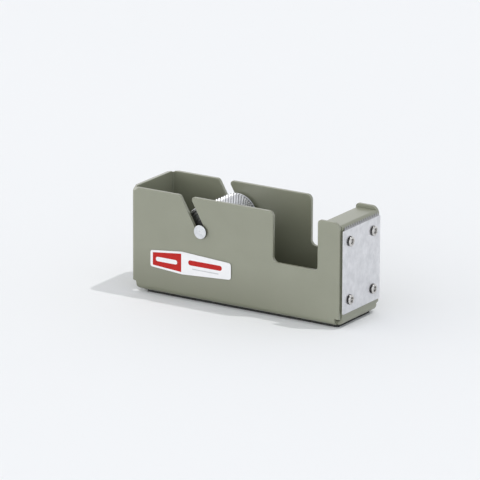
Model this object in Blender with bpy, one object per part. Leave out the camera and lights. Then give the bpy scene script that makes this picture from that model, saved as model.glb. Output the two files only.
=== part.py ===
"""Desk tape dispenser: a folded steel box with a serrated blade, and a hub on a lift-out axle.

Metres, +Z up. +X points to the blade, the axle lies along Y, and the origin is on the
surface that the dispenser stands on, under the middle of its box. The body's own lengths
are counted from its back face and from the underside of its sheet.
"""
import math

import bmesh
import bpy
from mathutils import Matrix, Vector

# Gap kept between pieces that rest on or pass through each other.
GAP = 0.0003

# Folded body.
BODY_LENGTH = 0.130
BODY_WIDTH = 0.040
BODY_HEIGHT = 0.056
SHEET = 0.002
BEND_RADIUS = 0.0028
INSIDE_RADIUS = BEND_RADIUS - SHEET

# Rubber pad under the body.
PAD_THICKNESS = 0.0014
PAD_BACK = 0.0076
PAD_FRONT = 0.0033
PAD_SIDE = 0.0036
PAD_CORNER = 0.0015

# Blade plate on the front panel, with its four rivets.
BLADE_THICKNESS = 0.0006
BLADE_WIDTH = 0.0370
BLADE_FOOT = 0.0063
BLADE_ROOT = 0.0516
BLADE_CORNER = 0.0006
TOOTH_HEIGHT = 0.0021
TOOTH_COUNT = 16
TOOTH_PITCH = 0.00215
RIVET_SIDE = 0.0116
RIVET_HEIGHTS = {"upper": 0.0447, "lower": 0.0131}
RIVET_SHANK_RADIUS = 0.0016
RIVET_HEAD_RADIUS = 0.0027
RIVET_HEAD = 0.0011
RIVET_DIMPLE_RADIUS = 0.0013
RIVET_DIMPLE = 0.0007
RIVET_BULB_RADIUS = 0.0024
RIVET_BULB = 0.0018

# Where the body stands in the part's frame.
OVERALL_LENGTH = BODY_LENGTH + GAP + BLADE_THICKNESS + GAP + RIVET_HEAD
BACK_X = -OVERALL_LENGTH / 2
FRONT_X = BACK_X + BODY_LENGTH
BASE_Z = PAD_THICKNESS + GAP
TOP_Z = BASE_Z + BODY_HEIGHT
HALF_WIDTH = BODY_WIDTH / 2
INNER_HALF = HALF_WIDTH - SHEET

# Platform between the ears, folded back from the front panel.
PLATFORM_BACK = 0.1170
PLATFORM_TOP = 0.0541
PLATFORM_BEND_RADIUS = 0.0022
KERF_BACK = 0.1164
KERF_FLOOR = 0.0031
KERF_CLEARANCE = 0.0003
KERF_BITE = 0.0001

# The walls' front edges stand this far behind the front panel's face.
WALL_SETBACK = 0.0006

# Finger notch in both walls.
NOTCH_BACK = 0.0887
NOTCH_FRONT = 0.1160
NOTCH_FLOOR = 0.0285
NOTCH_BACK_RADIUS = 0.0030
NOTCH_FRONT_RADIUS = 0.0020
WALL_CORNER_RADIUS = 0.0030
EAR_BACK_RADIUS = 0.0018
EAR_FRONT_RADIUS = 0.0042

# Leaning slot in both walls. Its round floor is centred on the axle.
AXLE_FROM_BACK = 0.0443
AXLE_FROM_BASE = 0.0381
AXLE = Vector((BACK_X + AXLE_FROM_BACK, 0.0, BASE_Z + AXLE_FROM_BASE))
SLOT_LEAN = math.radians(30.0)
SLOT_WIDTH = 0.0054
SLOT_BACK_RADIUS = 0.0022
SLOT_FRONT_RADIUS = 0.0016

# Open reliefs at the base's corners, where three folds would meet.
REAR_RELIEF_FROM_BACK = 0.0033
REAR_RELIEF_HEIGHT = 0.0044
REAR_RELIEF_HALF = 0.0154
REAR_RELIEF_RADIUS = 0.0028
FRONT_RELIEF_FROM_FRONT = 0.0035
FRONT_RELIEF_HEIGHT = 0.0036
FRONT_RELIEF_HALF = 0.0170

# The rim's rear corners, ground off from this far along each edge, at this slope.
REAR_CORNER_REACH = 0.0051
REAR_CORNER_SLOPE = 0.9

# Tape hub.
HUB_RADIUS = 0.0126
HUB_HALF_LENGTH = 0.0160
HUB_BORE = 0.0112
HUB_CHAMFER = 0.0003
PLATE_RECESS = 0.0006
PLATE_THICKNESS = 0.0018
BUSH_RADIUS = 0.0042
BUSH_FLANGE_RADIUS = 0.0058
BUSH_FLANGE = 0.0008
BUSH_TAIL = 0.0010

# Axle with a flat round cap outside each wall.
AXLE_RADIUS = SLOT_WIDTH / 2 - GAP
AXLE_NECK_RADIUS = 0.0015
AXLE_NECK = 0.0009
CAP_RADIUS = 0.00375
CAP_THICKNESS = 0.0012
CAP_FACE = 0.0003
CAP_CHAMFER = 0.0002

# Blank label on the near wall: its corners from the back face and from the sheet's underside.
LABEL_CORNERS = [
    (0.0127, 0.0142, 0.0012),
    (0.0325, 0.0128, 0.0),
    (0.0631, 0.0147, 0.0016),
    (0.0631, 0.0237, 0.0016),
    (0.0325, 0.0253, 0.0),
    (0.0127, 0.0231, 0.0012),
]
LABEL_THICKNESS = 0.0002

ARC_STEP = math.radians(18.0)
ROUND_SEGMENTS = 40
CUT_MARGIN = 0.001


# ---------------------------------------------------------------- outlines

def rounded(corners):
    """Points of an outline given as (u, v, radius) corners; a radius above 0 rounds its corner."""
    points = []
    count = len(corners)
    for index, (u, v, radius) in enumerate(corners):
        corner = Vector((u, v))
        if radius <= 0.0:
            points.append(corner)
            continue
        to_last = (Vector(corners[index - 1][:2]) - corner).normalized()
        to_next = (Vector(corners[(index + 1) % count][:2]) - corner).normalized()
        half_angle = to_last.angle(to_next) / 2
        centre = corner + (to_last + to_next).normalized() * (radius / math.sin(half_angle))
        reach = radius / math.tan(half_angle)
        start = corner + to_last * reach - centre
        turn = start.angle_signed(corner + to_next * reach - centre)
        steps = max(2, math.ceil(abs(turn) / ARC_STEP))
        for step in range(steps + 1):
            spoke = Matrix.Rotation(-turn * step / steps, 2) @ start
            points.append(centre + spoke)
    kept = [p for i, p in enumerate(points) if (p - points[i - 1]).length > 1e-6]
    return kept


def body_outline(corners):
    """An outline in the side view, moved from the body's own lengths into the part's frame."""
    return rounded([(BACK_X + x, BASE_Z + z, radius) for x, z, radius in corners])


# ---------------------------------------------------------------- solids

def new_object(name, mesh_builder, material=None):
    """An object whose mesh the builder fills, with its faces pointing out."""
    mesh = bpy.data.meshes.new(name)
    bm = bmesh.new()
    mesh_builder(bm)
    bmesh.ops.recalc_face_normals(bm, faces=bm.faces)
    bm.to_mesh(mesh)
    bm.free()
    obj = bpy.data.objects.new(name, mesh)
    bpy.context.scene.collection.objects.link(obj)
    if material:
        mesh.materials.append(material)
    return obj


def add_prism(bm, outline, axis, low, high):
    """Extrudes an outline along an axis; its points are the other two coordinates in order."""
    place = {"X": lambda u, v: (low, u, v), "Y": lambda u, v: (u, low, v), "Z": lambda u, v: (u, v, low)}[axis]
    face = bm.faces.new([bm.verts.new(place(u, v)) for u, v in outline])
    grown = bmesh.ops.extrude_face_region(bm, geom=[face])
    moved = [item for item in grown["geom"] if isinstance(item, bmesh.types.BMVert)]
    offset = Vector([high - low if name == axis else 0.0 for name in "XYZ"])
    bmesh.ops.translate(bm, verts=moved, vec=offset)


def prism(name, outline, axis, low, high, material=None):
    return new_object(name, lambda bm: add_prism(bm, outline, axis, low, high), material)


def add_turned(bm, profile, axis, centre, ring=False):
    """Turns (along, radius) points about an axis; a ring joins its last point to its first."""
    about = {"X": Matrix.Rotation(math.pi / 2, 3, "Y"), "Y": Matrix.Rotation(-math.pi / 2, 3, "X")}[axis]
    loops = []
    for along, radius in profile:
        if radius <= 0.0:
            loops.append([bm.verts.new(centre + about @ Vector((0.0, 0.0, along)))])
            continue
        loop = []
        for index in range(ROUND_SEGMENTS):
            angle = math.tau * (index + 0.5) / ROUND_SEGMENTS
            spoke = Vector((radius * math.cos(angle), radius * math.sin(angle), along))
            loop.append(bm.verts.new(centre + about @ spoke))
        loops.append(loop)
    pairs = list(zip(loops, loops[1:]))
    if ring:
        pairs.append((loops[-1], loops[0]))
    for first, second in pairs:
        for index in range(ROUND_SEGMENTS):
            after = (index + 1) % ROUND_SEGMENTS
            corners = [first[index % len(first)], first[after % len(first)],
                       second[after % len(second)], second[index % len(second)]]
            bm.faces.new(list(dict.fromkeys(corners)))


def turned(name, profile, axis, centre, material, ring=False):
    """A smooth-shaded turned piece with its origin on its own axis."""
    obj = new_object(name, lambda bm: add_turned(bm, profile, axis, Vector(), ring), material)
    obj.location = centre
    obj.data.shade_smooth()
    obj.data.set_sharp_from_angle(angle=math.radians(35.0))
    return obj


def as_cutter(obj):
    obj.hide_render = True
    obj.display_type = "WIRE"
    return obj


def cut(target, cutter):
    """Takes the cutter's space away from the target."""
    modifier = target.modifiers.new(cutter.name, "BOOLEAN")
    modifier.operation = "DIFFERENCE"
    modifier.solver = "EXACT"
    modifier.object = as_cutter(cutter)


def both_walls(name, outline, inner, outer):
    """A cutter with the same side-view outline through the near wall and through the far wall."""
    def build(bm):
        add_prism(bm, outline, "Y", -outer, -inner)
        add_prism(bm, outline, "Y", inner, outer)
    return new_object(name, build)


# ---------------------------------------------------------------- materials

def material(name, colour, roughness, metallic):
    result = bpy.data.materials.new(name)
    result.use_nodes = True
    shader = result.node_tree.nodes["Principled BSDF"]
    shader.inputs["Base Color"].default_value = (*colour, 1.0)
    shader.inputs["Roughness"].default_value = roughness
    shader.inputs["Metallic"].default_value = metallic
    return result


def make_materials():
    return {
        "painted_steel": material("painted_steel", (0.30, 0.31, 0.25), 0.45, 0.0),
        "blade_steel": material("blade_steel", (0.64, 0.64, 0.67), 0.35, 1.0),
        "rivet_steel": material("rivet_steel", (0.60, 0.59, 0.58), 0.30, 1.0),
        "rubber": material("rubber", (0.02, 0.02, 0.02), 0.80, 0.0),
        "label": material("label", (0.85, 0.85, 0.85), 0.40, 0.0),
        "hub_aluminium": material("hub_aluminium", (0.75, 0.76, 0.78), 0.40, 1.0),
        "plate_steel": material("plate_steel", (0.42, 0.43, 0.43), 0.45, 1.0),
        "bush_plastic": material("bush_plastic", (0.06, 0.06, 0.06), 0.50, 0.0),
        "axle_steel": material("axle_steel", (0.72, 0.72, 0.74), 0.30, 1.0),
    }


# ---------------------------------------------------------------- folded body

def folded_block():
    """The body's outside as a solid block, with the folds at its base and back rounded."""
    def build(bm):
        outline = body_outline([
            (0.0, 0.0, 0.0),
            (BODY_LENGTH, 0.0, 0.0),
            (BODY_LENGTH, BODY_HEIGHT, 0.0),
            (0.0, BODY_HEIGHT, 0.0),
        ])
        add_prism(bm, outline, "Y", -HALF_WIDTH, HALF_WIDTH)
        near_zero = CUT_MARGIN / 100
        folds = []
        for edge in bm.edges:
            ends = [vert.co for vert in edge.verts]
            on_base = all(abs(end.z - BASE_Z) < near_zero for end in ends)
            on_back = all(abs(end.x - BACK_X) < near_zero for end in ends)
            upright = abs(ends[0].x - ends[1].x) + abs(ends[0].y - ends[1].y) < near_zero
            if on_base or (on_back and upright):
                folds.append(edge)
        bmesh.ops.bevel(bm, geom=folds, offset=BEND_RADIUS, segments=5, profile=0.5, affect="EDGES")
    return build


def hollow_outline():
    """Side view of the space inside the box, open behind, over and in front of the platform."""
    underside = PLATFORM_TOP - SHEET
    panel_inside = BODY_LENGTH - SHEET
    above = BODY_HEIGHT + CUT_MARGIN
    return body_outline([
        (SHEET, SHEET, INSIDE_RADIUS),
        (panel_inside, SHEET, INSIDE_RADIUS),
        (panel_inside, underside, PLATFORM_BEND_RADIUS - SHEET),
        (PLATFORM_BACK, underside, 0.0),
        (PLATFORM_BACK, PLATFORM_TOP, 0.0),
        (BODY_LENGTH, PLATFORM_TOP, PLATFORM_BEND_RADIUS),
        (BODY_LENGTH, PLATFORM_TOP - PLATFORM_BEND_RADIUS, 0.0),
        (BODY_LENGTH + CUT_MARGIN, PLATFORM_TOP - PLATFORM_BEND_RADIUS, 0.0),
        (BODY_LENGTH + CUT_MARGIN, above, 0.0),
        (SHEET, above, 0.0),
    ])


def notch_outline():
    """Side view of the finger notch, with its mouth's corners rounded outwards."""
    above = BODY_HEIGHT + CUT_MARGIN
    return body_outline([
        (NOTCH_BACK - WALL_CORNER_RADIUS, above, 0.0),
        (NOTCH_BACK - WALL_CORNER_RADIUS, BODY_HEIGHT, 0.0),
        (NOTCH_BACK, BODY_HEIGHT, WALL_CORNER_RADIUS),
        (NOTCH_BACK, NOTCH_FLOOR, NOTCH_BACK_RADIUS),
        (NOTCH_FRONT, NOTCH_FLOOR, NOTCH_FRONT_RADIUS),
        (NOTCH_FRONT, BODY_HEIGHT, EAR_BACK_RADIUS),
        (NOTCH_FRONT + EAR_BACK_RADIUS, BODY_HEIGHT, 0.0),
        (NOTCH_FRONT + EAR_BACK_RADIUS, above, 0.0),
    ])


def slot_outline():
    """Side view of the slot: it leans back from a round floor, and its mouth is rounded."""
    along = Vector((-math.sin(SLOT_LEAN), math.cos(SLOT_LEAN)))
    across = Vector((math.cos(SLOT_LEAN), math.sin(SLOT_LEAN))) * (SLOT_WIDTH / 2)
    floor_centre = Vector((AXLE_FROM_BACK, AXLE_FROM_BASE))
    back_reach = SLOT_BACK_RADIUS * math.tan(SLOT_LEAN)
    front_reach = SLOT_FRONT_RADIUS / math.tan(math.pi / 4 - SLOT_LEAN / 2)
    mouth = {}
    for side in (-1, 1):
        wall = floor_centre + side * across
        mouth[side] = wall.x + along.x / along.y * (BODY_HEIGHT - wall.y)
    back_end = mouth[-1] - back_reach
    front_end = mouth[1] + front_reach
    floor_corners = [floor_centre + side * across - along * (SLOT_WIDTH / 2) for side in (-1, 1)]
    above = BODY_HEIGHT + CUT_MARGIN
    return body_outline([
        (back_end, above, 0.0),
        (back_end, BODY_HEIGHT, 0.0),
        (mouth[-1], BODY_HEIGHT, SLOT_BACK_RADIUS),
        (*floor_corners[0], SLOT_WIDTH / 2),
        (*floor_corners[1], SLOT_WIDTH / 2),
        (mouth[1], BODY_HEIGHT, SLOT_FRONT_RADIUS),
        (front_end, BODY_HEIGHT, 0.0),
        (front_end, above, 0.0),
    ])


def rear_relief_outline():
    """Side view of the open relief under the upright rear fold; it rounds into the base."""
    return body_outline([
        (-CUT_MARGIN, REAR_RELIEF_HEIGHT, 0.0),
        (REAR_RELIEF_FROM_BACK, REAR_RELIEF_HEIGHT, 0.0),
        (REAR_RELIEF_FROM_BACK, 0.0, REAR_RELIEF_RADIUS),
        (REAR_RELIEF_FROM_BACK + REAR_RELIEF_RADIUS, 0.0, 0.0),
        (REAR_RELIEF_FROM_BACK + REAR_RELIEF_RADIUS, -CUT_MARGIN, 0.0),
        (-CUT_MARGIN, -CUT_MARGIN, 0.0),
    ])


def front_relief_outline():
    """Side view of the open relief under an ear, beside the base's front fold."""
    back = BODY_LENGTH - FRONT_RELIEF_FROM_FRONT
    return body_outline([
        (back, -CUT_MARGIN, 0.0),
        (BODY_LENGTH + CUT_MARGIN, -CUT_MARGIN, 0.0),
        (BODY_LENGTH + CUT_MARGIN, FRONT_RELIEF_HEIGHT, 0.0),
        (back, FRONT_RELIEF_HEIGHT, 0.0),
    ])


def wall_setback_outline():
    """Side view of what comes off a wall's front edge and off its ear's rounded front corner."""
    back = BODY_LENGTH - WALL_SETBACK
    above = BODY_HEIGHT + CUT_MARGIN
    return body_outline([
        (back, -CUT_MARGIN, 0.0),
        (BODY_LENGTH + CUT_MARGIN, -CUT_MARGIN, 0.0),
        (BODY_LENGTH + CUT_MARGIN, above, 0.0),
        (back - EAR_FRONT_RADIUS, above, 0.0),
        (back - EAR_FRONT_RADIUS, BODY_HEIGHT, 0.0),
        (back, BODY_HEIGHT, EAR_FRONT_RADIUS),
    ])


def rear_corner_cutter(name, side):
    """A wedge across the rim's rear corner on one side, sloping down outwards from the rim."""
    reach = REAR_CORNER_REACH
    rise = CUT_MARGIN * REAR_CORNER_SLOPE
    outline = [(-CUT_MARGIN, rise), (reach, -reach * REAR_CORNER_SLOPE), (reach, rise)]
    wedge = prism(name, outline, "Y", -2 * reach, 2 * reach)
    wedge.location = (BACK_X, side * (HALF_WIDTH - reach), TOP_Z)
    wedge.rotation_euler.z = side * math.radians(135.0)
    return wedge


def rivet_places():
    """Name and centre, in the front view, of each rivet."""
    for level, height in RIVET_HEIGHTS.items():
        for side_name, side in (("near", -1), ("far", 1)):
            yield f"rivet_{level}_{side_name}", Vector((0.0, side * RIVET_SIDE, BASE_Z + height))


def rivet_hole_cutter():
    """Four round cutters along X that clear the rivets' shanks."""
    def build(bm):
        radius = RIVET_SHANK_RADIUS + GAP
        low = FRONT_X - SHEET - CUT_MARGIN
        high = FRONT_X + GAP + BLADE_THICKNESS + CUT_MARGIN
        profile = [(low, 0.0), (low, radius), (high, radius), (high, 0.0)]
        for _, centre in rivet_places():
            add_turned(bm, profile, "X", centre)
    return new_object("rivet_hole_cutter", build)


def make_body(materials, rivet_holes):
    body = new_object("body_shell", folded_block(), materials["painted_steel"])
    cut(body, prism("hollow_cutter", hollow_outline(), "Y", -INNER_HALF, INNER_HALF))
    kerf = body_outline([
        (KERF_BACK, KERF_FLOOR, 0.0),
        (BODY_LENGTH + CUT_MARGIN, KERF_FLOOR, 0.0),
        (BODY_LENGTH + CUT_MARGIN, BODY_HEIGHT + CUT_MARGIN, 0.0),
        (KERF_BACK, BODY_HEIGHT + CUT_MARGIN, 0.0),
    ])
    cut(body, both_walls("kerf_cutter", kerf, INNER_HALF - KERF_CLEARANCE, INNER_HALF + KERF_BITE))
    through = HALF_WIDTH + CUT_MARGIN
    cut(body, prism("notch_cutter", notch_outline(), "Y", -through, through))
    cut(body, prism("slot_cutter", slot_outline(), "Y", -through, through))
    cut(body, both_walls("rear_relief_cutter", rear_relief_outline(), REAR_RELIEF_HALF, through))
    cut(body, both_walls("front_relief_cutter", front_relief_outline(), FRONT_RELIEF_HALF, through))
    cut(body, both_walls("wall_setback_cutter", wall_setback_outline(), INNER_HALF, through))
    cut(body, rear_corner_cutter("rear_corner_cutter_near", -1))
    cut(body, rear_corner_cutter("rear_corner_cutter_far", 1))
    cut(body, rivet_holes)
    return body


# ---------------------------------------------------------------- blade, rivets, pad, label

def make_blade(materials, rivet_holes):
    """The cutter plate: plain shoulders, and a row of pointed teeth between them."""
    half = BLADE_WIDTH / 2
    root = BASE_Z + BLADE_ROOT
    corners = [
        (-half, BASE_Z + BLADE_FOOT, BLADE_CORNER),
        (half, BASE_Z + BLADE_FOOT, BLADE_CORNER),
        (half, root, BLADE_CORNER),
    ]
    first = TOOTH_COUNT * TOOTH_PITCH / 2
    for index in range(TOOTH_COUNT):
        corners.append((first - index * TOOTH_PITCH, root, 0.0))
        corners.append((first - (index + 0.5) * TOOTH_PITCH, root + TOOTH_HEIGHT, 0.0))
    corners.append((-first, root, 0.0))
    corners.append((-half, root, BLADE_CORNER))
    back = FRONT_X + GAP
    blade = prism("blade_plate", rounded(corners), "X", back, back + BLADE_THICKNESS,
                  materials["blade_steel"])
    cut(blade, rivet_holes)
    return blade


def make_rivets(materials):
    """Each rivet: a low round head with a dimple, a shank, and a bulb behind the front panel."""
    face = FRONT_X + GAP + BLADE_THICKNESS + GAP
    panel_back = FRONT_X - SHEET - GAP
    profile = [
        (panel_back - RIVET_BULB, 0.0),
        (panel_back - RIVET_BULB, RIVET_BULB_RADIUS * 0.7),
        (panel_back - RIVET_BULB * 0.5, RIVET_BULB_RADIUS),
        (panel_back, RIVET_BULB_RADIUS * 0.9),
        (panel_back, RIVET_SHANK_RADIUS),
        (face, RIVET_SHANK_RADIUS),
        (face, RIVET_HEAD_RADIUS),
        (face + RIVET_HEAD * 0.55, RIVET_HEAD_RADIUS * 0.96),
        (face + RIVET_HEAD * 0.88, RIVET_HEAD_RADIUS * 0.82),
        (face + RIVET_HEAD, RIVET_HEAD_RADIUS * 0.62),
        (face + RIVET_HEAD, RIVET_DIMPLE_RADIUS),
        (face + RIVET_HEAD - RIVET_DIMPLE, RIVET_DIMPLE_RADIUS * 0.6),
        (face + RIVET_HEAD - RIVET_DIMPLE, 0.0),
    ]
    for name, centre in rivet_places():
        turned(name, profile, "X", centre, materials["rivet_steel"])


def make_pad(materials):
    """The rubber pad covers the flat of the base, inside its folds."""
    back = BACK_X + PAD_BACK
    front = FRONT_X - PAD_FRONT
    side = HALF_WIDTH - PAD_SIDE
    outline = rounded([
        (back, -side, PAD_CORNER),
        (front, -side, PAD_CORNER),
        (front, side, PAD_CORNER),
        (back, side, PAD_CORNER),
    ])
    prism("base_pad", outline, "Z", 0.0, PAD_THICKNESS, materials["rubber"])


def make_label(materials):
    outer = -HALF_WIDTH - GAP - LABEL_THICKNESS
    prism("wall_label", body_outline(LABEL_CORNERS), "Y", outer, outer + LABEL_THICKNESS,
          materials["label"])


# ---------------------------------------------------------------- hub and axle

def make_hub(materials, axle_line):
    """A drum that grips the tape's core, closed by a plate and a flanged bush at each end."""
    end = HUB_HALF_LENGTH
    drum = turned("hub_drum", [
        (-end, HUB_BORE),
        (-end, HUB_RADIUS - HUB_CHAMFER),
        (-end + HUB_CHAMFER, HUB_RADIUS),
        (end - HUB_CHAMFER, HUB_RADIUS),
        (end, HUB_RADIUS - HUB_CHAMFER),
        (end, HUB_BORE),
    ], "Y", Vector(), materials["hub_aluminium"], ring=True)
    drum.parent = axle_line

    plate_out = end - PLATE_RECESS
    plate_in = plate_out - PLATE_THICKNESS
    bore = AXLE_RADIUS + GAP
    flange_in = plate_out + GAP
    for side_name, side in (("near", -1), ("far", 1)):
        plate = turned(f"hub_plate_{side_name}", [
            (side * plate_in, BUSH_RADIUS + GAP),
            (side * plate_in, HUB_BORE - GAP),
            (side * plate_out, HUB_BORE - GAP),
            (side * plate_out, BUSH_RADIUS + GAP),
        ], "Y", Vector(), materials["plate_steel"], ring=True)
        bush = turned(f"hub_bush_{side_name}", [
            (side * (plate_in - BUSH_TAIL), bore),
            (side * (plate_in - BUSH_TAIL), BUSH_RADIUS),
            (side * flange_in, BUSH_RADIUS),
            (side * flange_in, BUSH_FLANGE_RADIUS),
            (side * (flange_in + BUSH_FLANGE), BUSH_FLANGE_RADIUS),
            (side * (flange_in + BUSH_FLANGE), bore),
        ], "Y", Vector(), materials["bush_plastic"], ring=True)
        plate.parent = axle_line
        bush.parent = axle_line


def make_axle(materials, axle_line):
    """A rod with a neck at each end, and a flat cap pressed on each neck outside the walls."""
    neck_end = HALF_WIDTH + AXLE_NECK
    rod = turned("axle_rod", [
        (-neck_end, 0.0),
        (-neck_end, AXLE_NECK_RADIUS),
        (-HALF_WIDTH, AXLE_NECK_RADIUS),
        (-HALF_WIDTH, AXLE_RADIUS),
        (HALF_WIDTH, AXLE_RADIUS),
        (HALF_WIDTH, AXLE_NECK_RADIUS),
        (neck_end, AXLE_NECK_RADIUS),
        (neck_end, 0.0),
    ], "Y", Vector(), materials["axle_steel"])
    rod.parent = axle_line

    inner = HALF_WIDTH + GAP
    face = inner + CAP_THICKNESS
    socket = AXLE_NECK_RADIUS + GAP
    for side_name, side in (("near", -1), ("far", 1)):
        cap = turned(f"axle_cap_{side_name}", [
            (side * (face - CAP_FACE), 0.0),
            (side * (face - CAP_FACE), socket),
            (side * inner, socket),
            (side * inner, CAP_RADIUS),
            (side * (face - CAP_CHAMFER), CAP_RADIUS),
            (side * face, CAP_RADIUS - CAP_CHAMFER),
            (side * face, 0.0),
        ], "Y", Vector(), materials["axle_steel"])
        cap.parent = axle_line


def main():
    for obj in list(bpy.data.objects):
        bpy.data.objects.remove(obj)
    materials = make_materials()

    rivet_holes = rivet_hole_cutter()
    make_body(materials, rivet_holes)
    make_blade(materials, rivet_holes)
    make_rivets(materials)
    make_pad(materials)
    make_label(materials)

    axle_line = bpy.data.objects.new("axle_line", None)
    axle_line.location = AXLE
    bpy.context.scene.collection.objects.link(axle_line)
    make_hub(materials, axle_line)
    make_axle(materials, axle_line)


main()
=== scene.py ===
"""Looks of the desk tape dispenser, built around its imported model.

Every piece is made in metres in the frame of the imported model. The body's own lengths are
counted from its back face and from the underside of its sheet, as in the part's design.
"""
import math

import bmesh
import bpy
from mathutils import Matrix, Quaternion, Vector


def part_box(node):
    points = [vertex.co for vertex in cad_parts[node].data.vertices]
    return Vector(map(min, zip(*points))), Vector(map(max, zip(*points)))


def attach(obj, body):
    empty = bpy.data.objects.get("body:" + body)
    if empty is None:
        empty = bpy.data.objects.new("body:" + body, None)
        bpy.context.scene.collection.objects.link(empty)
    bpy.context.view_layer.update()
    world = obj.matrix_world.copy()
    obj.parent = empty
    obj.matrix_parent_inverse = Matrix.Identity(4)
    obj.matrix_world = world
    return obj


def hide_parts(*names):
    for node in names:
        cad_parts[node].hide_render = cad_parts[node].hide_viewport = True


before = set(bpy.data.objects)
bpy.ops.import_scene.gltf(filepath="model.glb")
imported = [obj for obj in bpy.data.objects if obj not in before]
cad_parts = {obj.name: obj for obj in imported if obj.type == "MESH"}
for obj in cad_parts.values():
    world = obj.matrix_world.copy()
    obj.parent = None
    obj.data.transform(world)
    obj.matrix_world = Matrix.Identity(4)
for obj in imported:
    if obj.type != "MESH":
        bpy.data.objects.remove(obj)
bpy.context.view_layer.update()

# ---------------------------------------------------------------- sizes

MM = 0.001
GAP = 0.3 * MM

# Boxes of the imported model's pieces, as a low and a high corner.
SHELL_LOW, SHELL_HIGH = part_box("body_shell")
BLADE_LOW, BLADE_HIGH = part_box("blade_plate")
RIVET_LOW, RIVET_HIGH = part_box("rivet_upper_near")
PAD_LOW, PAD_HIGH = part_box("base_pad")
LABEL_LOW, LABEL_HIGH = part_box("wall_label")
_, DRUM_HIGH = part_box("hub_drum")
PLATE_LOW, PLATE_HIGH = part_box("hub_plate_near")
BUSH_LOW, BUSH_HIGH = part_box("hub_bush_near")
ROD_LOW, ROD_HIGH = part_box("axle_rod")
CAP_LOW, CAP_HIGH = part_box("axle_cap_near")

BACK_X = SHELL_LOW.x
FRONT_X = SHELL_HIGH.x
BASE_Z = SHELL_LOW.z
BODY_LENGTH = SHELL_HIGH.x - SHELL_LOW.x
BODY_HEIGHT = SHELL_HIGH.z - SHELL_LOW.z
HALF_WIDTH = SHELL_HIGH.y
AXLE = (ROD_LOW + ROD_HIGH) / 2

# Folded sheet.
SHEET = 2.0 * MM
BEND_RADIUS = 2.8 * MM
BEND_STEPS = 8
EDGE_RADIUS = 0.32 * MM
EDGE_SEGMENTS = 3

# Front panel, and the platform between the ears that is folded back from it.
PANEL_HALF = 17.7 * MM
PLATFORM_BACK = 117.0 * MM
PLATFORM_TOP = 54.1 * MM
PLATFORM_BEND_RADIUS = 2.2 * MM

# The walls' front edges stand this far behind the front panel's face.
WALL_SETBACK = 0.6 * MM

# Finger notch in both walls.
NOTCH_BACK = 88.7 * MM
NOTCH_FRONT = 116.0 * MM
NOTCH_FLOOR = 28.5 * MM
NOTCH_BACK_RADIUS = 3.0 * MM
NOTCH_FRONT_RADIUS = 2.0 * MM
WALL_CORNER_RADIUS = 3.0 * MM
EAR_BACK_RADIUS = 1.8 * MM
EAR_FRONT_RADIUS = 4.2 * MM
EAR_FOOT_RADIUS = 0.4 * MM

# Leaning slot in both walls.
SLOT_LEAN = math.radians(30.0)
SLOT_WIDTH = 5.4 * MM
SLOT_BACK_RADIUS = 2.2 * MM
SLOT_FRONT_RADIUS = 1.6 * MM

# Open reliefs at the base's corners, where three folds would meet.
REAR_RELIEF_FROM_BACK = 3.3 * MM
REAR_RELIEF_HEIGHT = 4.4 * MM
REAR_RELIEF_HALF = 15.4 * MM
REAR_RELIEF_ROUNDING = 2.38 * MM
FRONT_RELIEF_FROM_FRONT = 3.5 * MM
FRONT_RELIEF_HEIGHT = 3.6 * MM
FRONT_RELIEF_HALF = 17.0 * MM

# The rim's rear corners, ground off from this far along each edge, at this slope.
REAR_CORNER_REACH = 5.1 * MM
REAR_CORNER_SLOPE = 0.9

# Blade plate. Its teeth are ground from a little under their roots, a share of the full grind
# there and all of it at the tips.
BLADE_ROOT = 51.6 * MM
BLADE_CORNER = 0.6 * MM
BLADE_EDGE = 0.07 * MM
TOOTH_COUNT = 16
TOOTH_PITCH = 2.15 * MM
TOOTH_GRIND = 0.36 * MM
TOOTH_ROOT_GRIND = 0.12
TOOTH_GRIND_START = 0.2 * MM

# Rivets.
RIVET_SIDE = 11.6 * MM
RIVET_HEIGHTS = {"upper": 44.7 * MM, "lower": 13.1 * MM}
RIVET_HEAD = 1.1 * MM
RIVET_SHANK_RADIUS = 1.6 * MM
RIVET_CUP_RADIUS = 1.55 * MM
RIVET_CUP_DEPTH = 0.72 * MM
RIVET_PIN_RISE = 0.2 * MM
RIVET_BULB = 1.8 * MM
RIVET_BULB_RADIUS = 2.4 * MM

# Base pad.
PAD_CORNER = 1.5 * MM
PAD_EDGE = 0.2 * MM

# Label: its corners from the back face and from the sheet's underside, each with its rounding.
LABEL_CORNERS = [
    (12.7 * MM, 14.2 * MM, 1.2 * MM),
    (32.5 * MM, 12.8 * MM, 0.0),
    (63.1 * MM, 14.7 * MM, 1.6 * MM),
    (63.1 * MM, 23.7 * MM, 1.6 * MM),
    (32.5 * MM, 25.3 * MM, 0.0),
    (12.7 * MM, 23.1 * MM, 1.2 * MM),
]
RED_CORNERS = [
    (14.2 * MM, 15.2 * MM, 0.3 * MM),
    (32.1 * MM, 14.0 * MM, 0.1 * MM),
    (32.1 * MM, 24.1 * MM, 0.1 * MM),
    (14.2 * MM, 22.1 * MM, 0.3 * MM),
]
LABEL_EDGE = 0.05 * MM
PRINT_THICKNESS = 0.03 * MM

# The label's printed bars: left, right, low and high, counted in the same way.
PALE_BAR = (16.2 * MM, 29.6 * MM, 17.6 * MM, 20.0 * MM)
RED_BAR = (36.5 * MM, 57.5 * MM, 18.6 * MM, 21.4 * MM)
GREY_RULE = (39.0 * MM, 55.5 * MM, 16.4 * MM, 17.0 * MM)
BAR_END_ROUNDING = 0.48

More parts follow.
